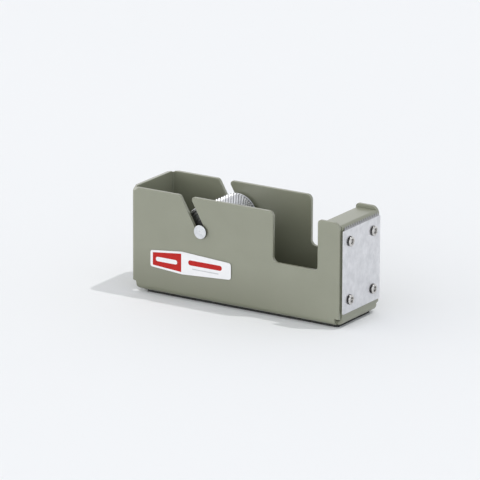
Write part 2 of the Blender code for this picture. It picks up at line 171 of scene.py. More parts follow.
# Hub and axle. KNURL_COUNT diamonds go round the drum in each ring, and the rings are staggered,
# two to a row. KNURL_FLAT is the share of a diamond's width that its flat top keeps.
KNURL_COUNT = 46
KNURL_ROWS = 12
KNURL_DEPTH = 0.60 * MM
KNURL_FLAT = 0.26
KNURL_BAND = 0.45 * MM
KNURL_RUNOUT = 0.10 * MM
DRUM_CHAMFER = 0.20 * MM
PLATE_STEP_DEPTH = 0.35 * MM
PLATE_STEP_MARGIN = 1.6 * MM
BUSH_SLEEVE_RADIUS = 4.2 * MM
AXLE_NECK_RADIUS = 1.5 * MM
CAP_FACE = 0.3 * MM

# Mesh making.
ROUND_SEGMENTS = 96
ARC_STEP = math.radians(7.5)
CUT_MARGIN = 1.0 * MM
SHARP_ANGLE = math.radians(40.0)
SAME_POINT = 1e-6
ON_AXIS = 1e-7

# ---------------------------------------------------------------- colours and light

# Pairs of tints that soft noise moves between, and what some surfaces turn to: real specks and
# lines, and painted shade. Some painted shade is whole at its FULL length and gone at its GONE
# length: out from the foot of a rivet's head, in from the drum's outside, or behind a cap's face.
PAINT_TINTS = (0.210, 0.217, 0.157), (0.226, 0.233, 0.171)
PAINT_SPECK = (0.26, 0.267, 0.205)
# Painted shade on the body: darker low down, fading out by this height, and fading out from the
# back length to the front length.
PAINT_LOW_SHADE = (0.150, 0.155, 0.104)
PAINT_LOW_SHADE_HEIGHT = 24.0 * MM
PAINT_LOW_SHADE_BACK = 80.0 * MM
PAINT_LOW_SHADE_FRONT = 128.0 * MM
BLADE_TINTS = (0.66, 0.663, 0.68), (0.79, 0.79, 0.81)
BLADE_LINES = (0.57, 0.575, 0.60)
# Painted shade: the grey that the ground teeth turn to, for their tilted faces in shade.
BLADE_TEETH_SHADE = (0.36, 0.36, 0.37)
RIVET_TINTS = (0.50, 0.48, 0.46), (0.72, 0.71, 0.69)
# Painted shade at the foot of each rivet's head and in its cup.
RIVET_FOOT_SHADE = (0.10, 0.095, 0.09)
RIVET_FOOT_SHADE_FULL = 0.30 * MM
RIVET_FOOT_SHADE_GONE = 0.70 * MM
DRUM_TINTS = (0.76, 0.77, 0.80), (0.90, 0.90, 0.91)
# Painted shade in the knurl's valleys.
DRUM_VALLEY_SHADE = (0.34, 0.34, 0.35)
DRUM_VALLEY_SHADE_FULL = KNURL_DEPTH * 0.95
DRUM_VALLEY_SHADE_GONE = KNURL_DEPTH * 0.45
# Painted shade: the hub's end plates are coloured dark for the shade deep in the slot.
PLATE_SHADED_TINTS = (0.20, 0.205, 0.20), (0.28, 0.285, 0.28)
AXLE_TINTS = (0.62, 0.64, 0.66), (0.76, 0.775, 0.79)
# Painted shade on the caps' sides and on the rod behind their faces.
AXLE_SIDES_SHADE = (0.20, 0.205, 0.20)
AXLE_SIDES_SHADE_FULL = 0.22 * MM
AXLE_SIDES_SHADE_GONE = 0.06 * MM
PLASTIC_TINTS = (0.022, 0.022, 0.022), (0.036, 0.036, 0.035)
RUBBER_TINTS = (0.020, 0.020, 0.020), (0.032, 0.032, 0.031)
LABEL_WHITE = (0.75, 0.75, 0.765), (0.79, 0.79, 0.80)
LABEL_RED = (0.41, 0.008, 0.006), (0.45, 0.012, 0.009)
LABEL_GREY = (0.50, 0.50, 0.52), (0.56, 0.56, 0.58)
FLOOR_TINTS = (0.86, 0.87, 0.885), (0.875, 0.885, 0.90)
ROOM_TINTS = (1.0, 0.995, 0.985), (0.93, 0.965, 1.02)

# The room's strength at the horizon and overhead, and what its opposite sides multiply it by.
ROOM_HORIZON = 1.88
ROOM_OVERHEAD = 0.28
ROOM_STRONG_SIDE = 1.3
ROOM_WEAK_SIDE = 0.7

# The key light, and the direction from the object to it.
KEY_DIRECTION = Vector((0.369, 0.180, 1.0))
KEY_STRENGTH = 0.86
KEY_COLOUR = (1.0, 0.99, 0.98)
KEY_ANGLE = math.radians(1.6)

# The camera aims at this height over the middle of the base, then shifts in its own plane.
CAMERA_AZIMUTH = math.radians(32.27)
CAMERA_ELEVATION = math.radians(16.43)
CAMERA_ROLL = math.radians(0.24)
CAMERA_DISTANCE = 3.034
CAMERA_LENS = 431.4
CAMERA_AIM_HEIGHT = 25.0 * MM
CAMERA_AIM_SHIFT = Vector((-7.76 * MM, 6.60 * MM, 0.0))

FLOOR_HALF = 12.0
FLOOR_THICKNESS = 0.05


# ---------------------------------------------------------------- outlines

def rounded(corners):
    """Points of an outline given as (u, v, radius) corners; a radius above 0 rounds its corner."""
    points = []
    count = len(corners)
    for index, (u, v, radius) in enumerate(corners):
        corner = Vector((u, v))
        if radius <= 0.0:
            points.append(corner)
            continue
        to_last = (Vector(corners[index - 1][:2]) - corner).normalized()
        to_next = (Vector(corners[(index + 1) % count][:2]) - corner).normalized()
        half_angle = to_last.angle(to_next) / 2
        centre = corner + (to_last + to_next).normalized() * (radius / math.sin(half_angle))
        reach = radius / math.tan(half_angle)
        start = corner + to_last * reach - centre
        turn = start.angle_signed(corner + to_next * reach - centre)
        steps = max(2, math.ceil(abs(turn) / ARC_STEP))
        for step in range(steps + 1):
            spoke = Matrix.Rotation(-turn * step / steps, 2) @ start
            points.append(centre + spoke)
    return [p for i, p in enumerate(points) if (p - points[i - 1]).length > SAME_POINT]


def body_outline(corners):
    """An outline in the side view, moved from the body's own lengths into the frame."""
    return [Vector((BACK_X, BASE_Z)) + point for point in rounded(corners)]


# ---------------------------------------------------------------- meshes

def new_object(name, mesh_builder):
    """An object whose mesh the builder fills, with its faces pointing out."""
    mesh = bpy.data.meshes.new(name)
    bm = bmesh.new()
    mesh_builder(bm)
    bmesh.ops.recalc_face_normals(bm, faces=bm.faces)
    bm.to_mesh(mesh)
    bm.free()
    obj = bpy.data.objects.new(name, mesh)
    bpy.context.scene.collection.objects.link(obj)
    return obj


def add_prism(bm, outline, axis, low, high):
    """Extrudes an outline along an axis; its points are the other two coordinates in order."""
    place = {
        "X": lambda u, v: (low, u, v),
        "Y": lambda u, v: (u, low, v),
        "Z": lambda u, v: (u, v, low),
    }[axis]
    face = bm.faces.new([bm.verts.new(place(u, v)) for u, v in outline])
    grown = bmesh.ops.extrude_face_region(bm, geom=[face])
    moved = [item for item in grown["geom"] if isinstance(item, bmesh.types.BMVert)]
    offset = Vector([high - low if name == axis else 0.0 for name in "XYZ"])
    bmesh.ops.translate(bm, verts=moved, vec=offset)


def bridge(bm, first, second):
    """Faces between two closed loops of points; a loop of one point makes a fan."""
    count = max(len(first), len(second))
    for index in range(count):
        after = (index + 1) % count
        corners = [first[index % len(first)], first[after % len(first)],
                   second[after % len(second)], second[index % len(second)]]
        bm.faces.new(list(dict.fromkeys(corners)))


def turning(axis):
    """A rotation that brings +Z to +X or to +Y."""
    if axis == "X":
        return Matrix.Rotation(math.pi / 2, 3, "Y")
    return Matrix.Rotation(-math.pi / 2, 3, "X")


def ring_spoke(angle, radius, along):
    """A point at this angle on a ring about +Z."""
    return Vector((radius * math.cos(angle), radius * math.sin(angle), along))


def add_turned(bm, profile, axis, centre, ring=False):
    """Turns (along, radius) points about an axis; a ring joins its last point to its first."""
    about = turning(axis)
    loops = []
    for along, radius in profile:
        if radius <= 0.0:
            loops.append([bm.verts.new(centre + about @ Vector((0.0, 0.0, along)))])
            continue
        spokes = [ring_spoke(math.tau * (index + 0.5) / ROUND_SEGMENTS, radius, along)
                  for index in range(ROUND_SEGMENTS)]
        loops.append([bm.verts.new(centre + about @ spoke) for spoke in spokes])
    pairs = list(zip(loops, loops[1:]))
    if ring:
        pairs.append((loops[-1], loops[0]))
    for first, second in pairs:
        bridge(bm, first, second)


def turned(name, corners, axis, centre, ring=False):
    """A turned object; its profile is given as (along, radius, rounding) corners."""
    points = rounded(corners)
    profile = [(p.x, p.y if p.y > ON_AXIS else 0.0) for p in points]
    return new_object(name, lambda bm: add_turned(bm, profile, axis, centre, ring))


def apply_modifiers(obj):
    """Makes the object's evaluated mesh its own."""
    graph = bpy.context.evaluated_depsgraph_get()
    mesh = bpy.data.meshes.new_from_object(obj.evaluated_get(graph))
    obj.modifiers.clear()
    obj.data = mesh


def cut(target, cutter):
    """Takes the cutter's space away from the target."""
    modifier = target.modifiers.new("cut", "BOOLEAN")
    modifier.operation = "DIFFERENCE"
    modifier.solver = "EXACT"
    modifier.object = cutter
    apply_modifiers(target)
    bpy.data.objects.remove(cutter)


def bevel(bm, edges, radius, segments):
    """Rounds these edges."""
    bmesh.ops.bevel(bm, geom=edges, offset=radius, segments=segments, profile=0.5,
                    affect="EDGES", clamp_overlap=False)


def round_edges(obj, radius, segments=EDGE_SEGMENTS):
    """Rounds an object's sharp edges."""
    bm = bmesh.new()
    bm.from_mesh(obj.data)
    sharp = [edge for edge in bm.edges if edge.calc_face_angle(0.0) > SHARP_ANGLE]
    bevel(bm, sharp, radius, segments)
    bm.to_mesh(obj.data)
    bm.free()


def finish_piece(obj, body, surface, slot, *nodes):
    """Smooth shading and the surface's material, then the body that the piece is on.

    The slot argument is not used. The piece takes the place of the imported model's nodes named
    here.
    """
    for face in obj.data.polygons:
        face.use_smooth = True
    obj.data.set_sharp_from_angle(angle=SHARP_ANGLE)
    weighted = obj.modifiers.new("flat faces stay flat", "WEIGHTED_NORMAL")
    weighted.keep_sharp = True
    obj.data.materials.clear()
    obj.data.materials.append(surface)
    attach(obj, body)
    if nodes:
        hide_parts(*nodes)


# ---------------------------------------------------------------- materials

class Pattern:
    """Short helpers for the nodes of one material or world."""

    def __init__(self, tree, coordinates):
        self.tree = tree
        self.place = tree.nodes.new("ShaderNodeTexCoord").outputs[coordinates]

    def link(self, source, target):
        self.tree.links.new(source, target)

    def part(self, axis):
        """One coordinate of the place."""
        node = self.tree.nodes.new("ShaderNodeSeparateXYZ")
        self.link(self.place, node.inputs["Vector"])
        return node.outputs[axis]

    def size(self, axis):
        """One coordinate without its sign."""
        node = self.tree.nodes.new("ShaderNodeMath")
        node.operation = "ABSOLUTE"
        self.link(self.part(axis), node.inputs[0])
        return node.outputs[0]

    def from_axle(self):
        """Distance from the hub's axis."""
        node = self.tree.nodes.new("ShaderNodeMapping")
        node.inputs["Location"].default_value = (-AXLE.x, 0.0, -AXLE.z)
        node.inputs["Scale"].default_value = (1.0, 0.0, 1.0)
        self.link(self.place, node.inputs["Vector"])
        length = self.tree.nodes.new("ShaderNodeVectorMath")
        length.operation = "LENGTH"
        self.link(node.outputs["Vector"], length.inputs[0])
        return length.outputs["Value"]

    def stretched(self, x, y, z):
        """Object coordinates with each axis scaled."""
        node = self.tree.nodes.new("ShaderNodeMapping")
        node.inputs["Scale"].default_value = (x, y, z)
        self.link(self.place, node.inputs["Vector"])
        return node.outputs["Vector"]

    def noise(self, size, detail=3.0, rough=0.55, place=None):
        """Soft noise whose features are about this size in metres."""
        node = self.tree.nodes.new("ShaderNodeTexNoise")
        node.inputs["Scale"].default_value = 1.0 / size
        node.inputs["Detail"].default_value = detail
        node.inputs["Roughness"].default_value = rough
        self.link(place or self.place, node.inputs["Vector"])
        return node.outputs["Fac"]

    def spread(self, source, low, high, start=0.3, end=0.7):
        """A value from start..end, where soft noise mostly lies, spread over low..high."""
        node = self.tree.nodes.new("ShaderNodeMapRange")
        node.inputs["From Min"].default_value = start
        node.inputs["From Max"].default_value = end
        node.inputs["To Min"].default_value = low
        node.inputs["To Max"].default_value = high
        self.link(source, node.inputs["Value"])
        return node.outputs["Result"]

    def times(self, first, second):
        """One value times another."""
        node = self.tree.nodes.new("ShaderNodeMath")
        node.operation = "MULTIPLY"
        self.link(first, node.inputs[0])
        self.link(second, node.inputs[1])
        return node.outputs[0]

    def blend(self, factor, first, second):
        """A colour between two, by a factor; a colour may be a tuple or a socket."""
        node = self.tree.nodes.new("ShaderNodeMix")
        node.data_type = "RGBA"
        self.link(factor, node.inputs["Factor"])
        for socket, value in ((node.inputs[6], first), (node.inputs[7], second)):
            if isinstance(value, tuple):
                socket.default_value = (*value, 1.0)
            else:
                self.link(value, socket)
        return node.outputs[2]


class Surface(Pattern):
    """A node material with a Principled shader."""

    def __init__(self, name, metallic=0.0, **sockets):
        self.material = bpy.data.materials.new(name)
        self.material.use_nodes = True
        super().__init__(self.material.node_tree, "Object")
        self.shader = self.tree.nodes["Principled BSDF"]
        self.shader.inputs["Metallic"].default_value = metallic
        for socket, value in sockets.items():
            self.shader.inputs[socket.replace("_", " ")].default_value = value

    def colour(self, source):
        self.link(source, self.shader.inputs["Base Color"])

    def roughness(self, source):
        self.link(source, self.shader.inputs["Roughness"])

    def bump(self, *layers):
        """Raised patterns, each given as (height source, height in metres)."""
        normal = None
        for source, height in layers:
            node = self.tree.nodes.new("ShaderNodeBump")
            node.inputs["Strength"].default_value = 1.0
            node.inputs["Distance"].default_value = height
            self.link(source, node.inputs["Height"])
            if normal:
                self.link(normal, node.inputs["Normal"])
            normal = node.outputs["Normal"]
        self.link(normal, self.shader.inputs["Normal"])


def paint_material():
    """Semi-gloss grey-green powder coat with a fine orange peel, and painted shade low down at the
    rear.
    """
    surface = Surface("painted_steel", Specular_IOR_Level=1.0, Roughness=0.31)
    tint = surface.spread(surface.noise(18.0 * MM), 0.0, 1.0)
    base = surface.blend(tint, *PAINT_TINTS)
    speck = surface.spread(surface.noise(0.35 * MM, detail=2.0), 0.0, 0.25, start=0.35, end=0.75)
    clean = surface.blend(speck, base, PAINT_SPECK)
    # Painted shade: darker towards the base and towards the rear, where the walls and the inside
    # get little light.
    low = surface.spread(surface.part("Z"), 1.0, 0.0, BASE_Z, BASE_Z + PAINT_LOW_SHADE_HEIGHT)
    rear = surface.spread(surface.part("X"), 1.0, 0.0,
                          BACK_X + PAINT_LOW_SHADE_BACK, BACK_X + PAINT_LOW_SHADE_FRONT)
    surface.colour(surface.blend(surface.times(low, rear), clean, PAINT_LOW_SHADE))
    surface.bump((surface.noise(0.6 * MM, detail=1.0, rough=0.4), 0.004 * MM),
                 (surface.noise(2.6 * MM, detail=1.0, rough=0.4), 0.008 * MM))
    return surface.material


def blade_material():
    """Zinc-bright rolled steel with soft stains, upright rolling lines, and teeth painted grey as
    shade.
    """
    surface = Surface("blade_steel", metallic=1.0)
    stain = surface.spread(surface.noise(5.0 * MM, detail=4.0, rough=0.6), 0.0, 1.0,
                           start=0.35, end=0.68)
    lines = surface.noise(1.0, rough=0.6, place=surface.stretched(700.0, 2600.0, 160.0))
    base = surface.blend(stain, *BLADE_TINTS)
    rolled = surface.blend(surface.spread(lines, 0.0, 0.35), base, BLADE_LINES)
    root = BASE_Z + BLADE_ROOT
    # Painted shade: from a little under the roots the teeth turn grey, for their ground faces in
    # shade.
    ground = surface.spread(surface.part("Z"), 0.0, 1.0,
                            root - TOOTH_GRIND_START, root + TOOTH_GRIND_START)
    surface.colour(surface.blend(ground, rolled, BLADE_TEETH_SHADE))
    surface.roughness(surface.spread(stain, 0.42, 0.30, start=0.0, end=1.0))
    surface.bump((lines, 0.004 * MM), (surface.noise(3.0 * MM, detail=2.0), 0.02 * MM))
    return surface.material


def rivet_material():
    """Plated steel, warmer and darker than the blade, with painted shade in the cup and at the
    foot.
    """
    surface = Surface("rivet_steel", metallic=1.0)
    stain = surface.spread(surface.noise(0.9 * MM), 0.0, 1.0)
    worn = surface.blend(stain, *RIVET_TINTS)
    foot = BLADE_HIGH.x + GAP
    # Painted shade: the head darkens towards the blade, at its foot and in its cup.
    foot_shade = surface.spread(surface.part("X"), 1.0, 0.0,
                          foot + RIVET_FOOT_SHADE_FULL, foot + RIVET_FOOT_SHADE_GONE)
    surface.colour(surface.blend(foot_shade, worn, RIVET_FOOT_SHADE))
    surface.roughness(surface.spread(surface.noise(0.5 * MM), 0.22, 0.36))
    surface.bump((surface.noise(0.4 * MM, detail=2.0), 0.006 * MM))
    return surface.material


def drum_material():
    """Bright aluminium, with painted shade in the knurl's valleys."""
    surface = Surface("hub_aluminium", metallic=1.0)
    stain = surface.spread(surface.noise(2.5 * MM), 0.0, 1.0)
    bright = surface.blend(stain, *DRUM_TINTS)
    outer = DRUM_HIGH.z - AXLE.z
    # Painted shade: the drum darkens in towards the bottoms of the knurl's valleys.
    valley = surface.spread(surface.from_axle(), 1.0, 0.0,
                            outer - DRUM_VALLEY_SHADE_FULL, outer - DRUM_VALLEY_SHADE_GONE)
    surface.colour(surface.blend(valley, bright, DRUM_VALLEY_SHADE))
    surface.roughness(surface.spread(surface.noise(0.8 * MM), 0.34, 0.44))
    surface.bump((surface.noise(0.12 * MM, detail=2.0), 0.004 * MM))
    return surface.material


def plate_material():
    """Dull steel, painted dark as shade: the hub's end is seen deep in the slot."""
    surface = Surface("plate_steel", metallic=1.0)
    stain = surface.spread(surface.noise(3.0 * MM), 0.0, 1.0)
    # Painted shade: a dark colour for the plate seen in shade through the slot.
    surface.colour(surface.blend(stain, *PLATE_SHADED_TINTS))
    surface.roughness(surface.spread(surface.noise(1.2 * MM), 0.38, 0.52))
    surface.bump((surface.noise(0.3 * MM, detail=2.0), 0.006 * MM))
    return surface.material


def axle_material():
    """Clean bright steel on the caps' faces, with painted shade on everything behind them."""
    surface = Surface("axle_steel", metallic=1.0)
    stain = surface.spread(surface.noise(2.0 * MM), 0.0, 1.0)
    bright = surface.blend(stain, *AXLE_TINTS)
    face = -CAP_LOW.y
    # Painted shade: everything behind the caps' faces is dark, for the contact shade by the wall.
    sides = surface.spread(surface.size("Y"), 1.0, 0.0,
                           face - AXLE_SIDES_SHADE_FULL, face - AXLE_SIDES_SHADE_GONE)
    surface.colour(surface.blend(sides, bright, AXLE_SIDES_SHADE))
    surface.roughness(surface.spread(surface.noise(0.7 * MM), 0.26, 0.38))
    surface.bump((surface.noise(0.25 * MM, detail=2.0), 0.004 * MM))
    return surface.material


def plastic_material():
    """Black moulded plastic."""
    surface = Surface("bush_plastic", Specular_IOR_Level=0.5)
    stain = surface.spread(surface.noise(1.5 * MM), 0.0, 1.0)
    surface.colour(surface.blend(stain, *PLASTIC_TINTS))
    surface.roughness(surface.spread(surface.noise(0.6 * MM), 0.42, 0.55))
    surface.bump((surface.noise(0.2 * MM, detail=2.0), 0.008 * MM))
    return surface.material


def rubber_material():
    """Matt black rubber with a fine grain."""
    surface = Surface("rubber", Specular_IOR_Level=0.4)
    stain = surface.spread(surface.noise(4.0 * MM), 0.0, 1.0)
    surface.colour(surface.blend(stain, *RUBBER_TINTS))
    surface.roughness(surface.spread(surface.noise(0.8 * MM), 0.70, 0.88))
    surface.bump((surface.noise(0.3 * MM), 0.03 * MM))
    return surface.material


def print_material(name, tints):
    """Smooth printed vinyl in one colour."""
    surface = Surface(name, Specular_IOR_Level=0.25)
    tint = surface.spread(surface.noise(3.0 * MM), 0.0, 1.0)
    surface.colour(surface.blend(tint, *tints))
    surface.roughness(surface.spread(surface.noise(1.5 * MM), 0.32, 0.42))
    surface.bump((surface.noise(1.0 * MM, detail=2.0), 0.003 * MM))
    return surface.material


# ---------------------------------------------------------------- folded body

def slot_corners():
    """The slot's corners in the side view, from its front mouth to its back mouth."""
    along = Vector((-math.sin(SLOT_LEAN), math.cos(SLOT_LEAN)))
    across = Vector((math.cos(SLOT_LEAN), math.sin(SLOT_LEAN))) * (SLOT_WIDTH / 2)
    floor_centre = Vector((AXLE.x - BACK_X, AXLE.z - BASE_Z))
    corners = []
    for side, mouth_radius in ((1, SLOT_FRONT_RADIUS), (-1, SLOT_BACK_RADIUS)):
        wall = floor_centre + side * across
        mouth = (wall.x + along.x / along.y * (BODY_HEIGHT - wall.y), BODY_HEIGHT, mouth_radius)
        floor = (*(wall - along * (SLOT_WIDTH / 2)), SLOT_WIDTH / 2)
        corners += [mouth, floor] if side > 0 else [floor, mouth]
    return corners


def wall_outline():
    """Side view of a flat wall, inside its folds: an ear, the finger notch and the slot."""
    relief = BODY_LENGTH - FRONT_RELIEF_FROM_FRONT
    front = BODY_LENGTH - WALL_SETBACK
    return rounded([
        (REAR_RELIEF_FROM_BACK, BEND_RADIUS, 0.0),
        (relief, BEND_RADIUS, 0.0),
        (relief, FRONT_RELIEF_HEIGHT, 0.0),
        (front, FRONT_RELIEF_HEIGHT, EAR_FOOT_RADIUS),
        (front, BODY_HEIGHT, EAR_FRONT_RADIUS),
        (NOTCH_FRONT, BODY_HEIGHT, EAR_BACK_RADIUS),
        (NOTCH_FRONT, NOTCH_FLOOR, NOTCH_FRONT_RADIUS),
        (NOTCH_BACK, NOTCH_FLOOR, NOTCH_BACK_RADIUS),
        (NOTCH_BACK, BODY_HEIGHT, WALL_CORNER_RADIUS),
        *slot_corners(),
        (BEND_RADIUS, BODY_HEIGHT, 0.0),
        (BEND_RADIUS, REAR_RELIEF_HEIGHT, 0.0),
        (REAR_RELIEF_FROM_BACK, REAR_RELIEF_HEIGHT, 0.0),
    ])


def mirrored(points):
    """The points, then the same points with their second coordinate negated, in reverse."""
    return points + [(u, -v) for u, v in reversed(points)]


def add_fold(bm, centre, start, end, along, rounding=0.0, outside=BEND_RADIUS):
    """A quarter round of the sheet's middle surface, from one flat sheet's side to the next.

    start and end point from the fold's centre line to the two sheets; along is its length.
    Its foot may round off by this much towards the second sheet. outside is the fold's radius
    on its outer face.
    """
    radius = outside - SHEET / 2
    rows = []
    for step in range(BEND_STEPS + 1):
        angle = math.pi / 2 * step / BEND_STEPS
        spoke = radius * (math.cos(angle) * start + math.sin(angle) * end)
        shift = rounding * (1.0 - math.cos(angle)) * along.normalized()
        rows.append([bm.verts.new(centre + spoke + shift), bm.verts.new(centre + spoke + along)])
    for first, second in zip(rows, rows[1:]):
        bm.faces.new([first[0], first[1], second[1], second[0]])


def add_folded_sheet(bm):
    """The middle surface of the folded sheet: base, walls, back, front panel and platform."""
    middle = SHEET / 2
    fold_half = HALF_WIDTH - BEND_RADIUS
    front_fold = BODY_LENGTH - BEND_RADIUS
    top_fold = PLATFORM_TOP - PLATFORM_BEND_RADIUS
    top_front = BODY_LENGTH - PLATFORM_BEND_RADIUS
    rear = REAR_RELIEF_FROM_BACK
    rounding = REAR_RELIEF_ROUNDING
    front = BODY_LENGTH - FRONT_RELIEF_FROM_FRONT
    x_axis, y_axis, z_axis = Vector((1, 0, 0)), Vector((0, 1, 0)), Vector((0, 0, 1))

    def place(x, y, z):
        return Vector((BACK_X + x, y, BASE_Z + z))

    def flat(points):
        bm.faces.new([bm.verts.new(point) for point in points])

    flat([place(x, y, middle) for x, y in mirrored([
        (BEND_RADIUS, REAR_RELIEF_HALF), (rear, REAR_RELIEF_HALF), (rear + rounding, fold_half),
        (front, fold_half), (front, FRONT_RELIEF_HALF), (front_fold, FRONT_RELIEF_HALF)])])
    flat([place(middle, y, z) for z, y in mirrored([
        (BEND_RADIUS, REAR_RELIEF_HALF), (REAR_RELIEF_HEIGHT, REAR_RELIEF_HALF),
        (REAR_RELIEF_HEIGHT, fold_half), (BODY_HEIGHT, fold_half)])])
    flat([place(BODY_LENGTH - middle, y, z) for z, y in mirrored([
        (BEND_RADIUS, FRONT_RELIEF_HALF), (FRONT_RELIEF_HEIGHT, FRONT_RELIEF_HALF),
        (FRONT_RELIEF_HEIGHT, PANEL_HALF), (top_fold, PANEL_HALF)])])
    flat([place(x, y, PLATFORM_TOP - middle) for x, y in mirrored([
        (PLATFORM_BACK, PANEL_HALF), (top_front, PANEL_HALF)])])
    add_fold(bm, place(BEND_RADIUS, -REAR_RELIEF_HALF, BEND_RADIUS), -x_axis, -z_axis,
             2 * REAR_RELIEF_HALF * y_axis)
    add_fold(bm, place(front_fold, -FRONT_RELIEF_HALF, BEND_RADIUS), x_axis, -z_axis,
             2 * FRONT_RELIEF_HALF * y_axis)
    add_fold(bm, place(top_front, -PANEL_HALF, top_fold), x_axis, z_axis, 2 * PANEL_HALF * y_axis,
             outside=PLATFORM_BEND_RADIUS)

    for side in (-1, 1):
        flat([place(x, side * (HALF_WIDTH - middle), z) for x, z in wall_outline()])
        outward = side * y_axis
        add_fold(bm, place(rear, side * fold_half, BEND_RADIUS), outward, -z_axis,
                 (front - rear) * x_axis, rounding)
        add_fold(bm, place(BEND_RADIUS, side * fold_half, REAR_RELIEF_HEIGHT), outward, -x_axis,
                 (BODY_HEIGHT - REAR_RELIEF_HEIGHT) * z_axis)
    bmesh.ops.remove_doubles(bm, verts=bm.verts, dist=SAME_POINT)


def grind_rear_corners(bm):
    """Slanted cuts that take the point off the rim's two rear corners; they close as rim faces."""
    for side in (-1, 1):
        edge = Vector((BACK_X, side * (HALF_WIDTH - REAR_CORNER_REACH), BASE_Z + BODY_HEIGHT))
        outward = Vector((-1.0, side, 0.0)).normalized()
        found = bmesh.ops.bisect_plane(
            bm, geom=[*bm.verts, *bm.edges, *bm.faces], plane_co=edge,
            plane_no=outward * REAR_CORNER_SLOPE + Vector((0.0, 0.0, 1.0)), clear_outer=True)
        rim = [item for item in found["geom_cut"] if isinstance(item, bmesh.types.BMEdge)]
        for face in bmesh.ops.edgeloop_fill(bm, edges=rim)["faces"]:
            face.material_index = 1


def rivet_places():
    """Name and centre, in the front view, of each rivet."""
    for level, height in RIVET_HEIGHTS.items():
        for side_name, side in (("near", -1), ("far", 1)):
            yield f"{level}_{side_name}", Vector((0.0, side * RIVET_SIDE, BASE_Z + height))


def rivet_hole_cutter():
    """Four round bars along X in one object, which clear the rivets' shanks."""
    def build(bm):
        radius = RIVET_SHANK_RADIUS + GAP
        low = FRONT_X - SHEET - CUT_MARGIN
        high = BLADE_HIGH.x + CUT_MARGIN
        profile = [(low, 0.0), (low, radius), (high, radius), (high, 0.0)]
        for _, centre in rivet_places():
            add_turned(bm, profile, "X", centre)
    return new_object("rivet_hole_cutter", build)


def make_body(paint):
    """One folded sheet with rounded rims and the rivets' holes.

    Its two material indices only tell the sheet's faces, 0, from its rims, 1.
    """
    body = new_object("steel_body", add_folded_sheet)
    body.data.materials.append(None)
    body.data.materials.append(None)
    thick = body.modifiers.new("sheet", "SOLIDIFY")
    thick.thickness = SHEET
    thick.offset = 0.0
    thick.use_even_offset = True
    thick.material_offset_rim = 1
    apply_modifiers(body)

    bm = bmesh.new()
    bm.from_mesh(body.data)
    grind_rear_corners(bm)
    rims = [edge for edge in bm.edges
            if len({face.material_index for face in edge.link_faces}) == 2]
    bevel(bm, rims, EDGE_RADIUS, EDGE_SEGMENTS)
    for face in bm.faces:
        face.material_index = 0
    bm.to_mesh(body.data)
    bm.free()
    cut(body, rivet_hole_cutter())
    finish_piece(body, "body", paint, "painted_steel", "body_shell")


# ---------------------------------------------------------------- blade and rivets

def blade_outline():
    """Front view of the blade: plain shoulders, and a row of pointed teeth between them."""
    half = BLADE_HIGH.y
    root = BASE_Z + BLADE_ROOT
    tip = BLADE_HIGH.z
    corners = [
        (-half, BLADE_LOW.z, BLADE_CORNER),
        (half, BLADE_LOW.z, BLADE_CORNER),
        (half, root, BLADE_CORNER),
    ]
    first = TOOTH_COUNT * TOOTH_PITCH / 2
    for index in range(TOOTH_COUNT):
        corners.append((first - index * TOOTH_PITCH, root, 0.0))
        corners.append((first - (index + 0.5) * TOOTH_PITCH, tip, 0.0))
    corners.append((-first, root, 0.0))
    corners.append((-half, root, BLADE_CORNER))
    return rounded(corners)


def make_blade(steel):
    """The teeth are ground back from the outer face towards their tips."""
    root = BASE_Z + BLADE_ROOT

    def build(bm):
        add_prism(bm, blade_outline(), "X", BLADE_LOW.x, BLADE_HIGH.x)
        everything = [*bm.verts, *bm.edges, *bm.faces]
        bmesh.ops.bisect_plane(bm, geom=everything, plane_co=(0.0, 0.0, root - TOOTH_GRIND_START),
                               plane_no=(0.0, 0.0, 1.0))
        for vert in bm.verts:
            on_face = vert.co.x > BLADE_HIGH.x - SAME_POINT
            if on_face and vert.co.z > root - TOOTH_GRIND_START / 2:
                rise = (vert.co.z - root) / (BLADE_HIGH.z - root)
                vert.co.x -= TOOTH_GRIND * (TOOTH_ROOT_GRIND + (1.0 - TOOTH_ROOT_GRIND) * rise)

    blade = new_object("cutter_blade", build)
    cut(blade, rivet_hole_cutter())
    round_edges(blade, BLADE_EDGE, segments=2)
    finish_piece(blade, "body", steel, "blade_steel", "blade_plate")


def make_rivets(steel):
    """Each rivet: a domed ring head with a cup and the pulled pin in it, a shank, and a bulb."""
    head_radius = (RIVET_HIGH.z - RIVET_LOW.z) / 2
    face = BLADE_HIGH.x + GAP
    top = face + RIVET_HEAD
    floor = top - RIVET_CUP_DEPTH
    panel_back = FRONT_X - SHEET - GAP
    bulb_end = panel_back - RIVET_BULB
    profile = [
        (bulb_end, 0.0, 0.0),
        (bulb_end, RIVET_BULB_RADIUS * 0.75, 0.5 * MM),
        (bulb_end + RIVET_BULB * 0.45, RIVET_BULB_RADIUS, 0.6 * MM),
        (panel_back, RIVET_BULB_RADIUS * 0.9, 0.1 * MM),
        (panel_back, RIVET_SHANK_RADIUS, 0.0),
        (face, RIVET_SHANK_RADIUS, 0.0),
        (face, head_radius, 0.12 * MM),
        (face + RIVET_HEAD * 0.6, head_radius * 0.99, 0.35 * MM),
        (top, head_radius * 0.72, 0.35 * MM),
        (top, RIVET_CUP_RADIUS, 0.18 * MM),
        (floor, RIVET_CUP_RADIUS * 0.9, 0.15 * MM),
        (floor, RIVET_CUP_RADIUS * 0.45, 0.1 * MM),
        (floor + RIVET_PIN_RISE, RIVET_CUP_RADIUS * 0.35, 0.1 * MM),
        (floor + RIVET_PIN_RISE, 0.0, 0.0),
    ]
    for place, centre in rivet_places():
        rivet = turned(f"rivet_head_{place}", profile, "X", centre)
        finish_piece(rivet, "body", steel, "rivet_steel", f"rivet_{place}")


# ---------------------------------------------------------------- pad and label

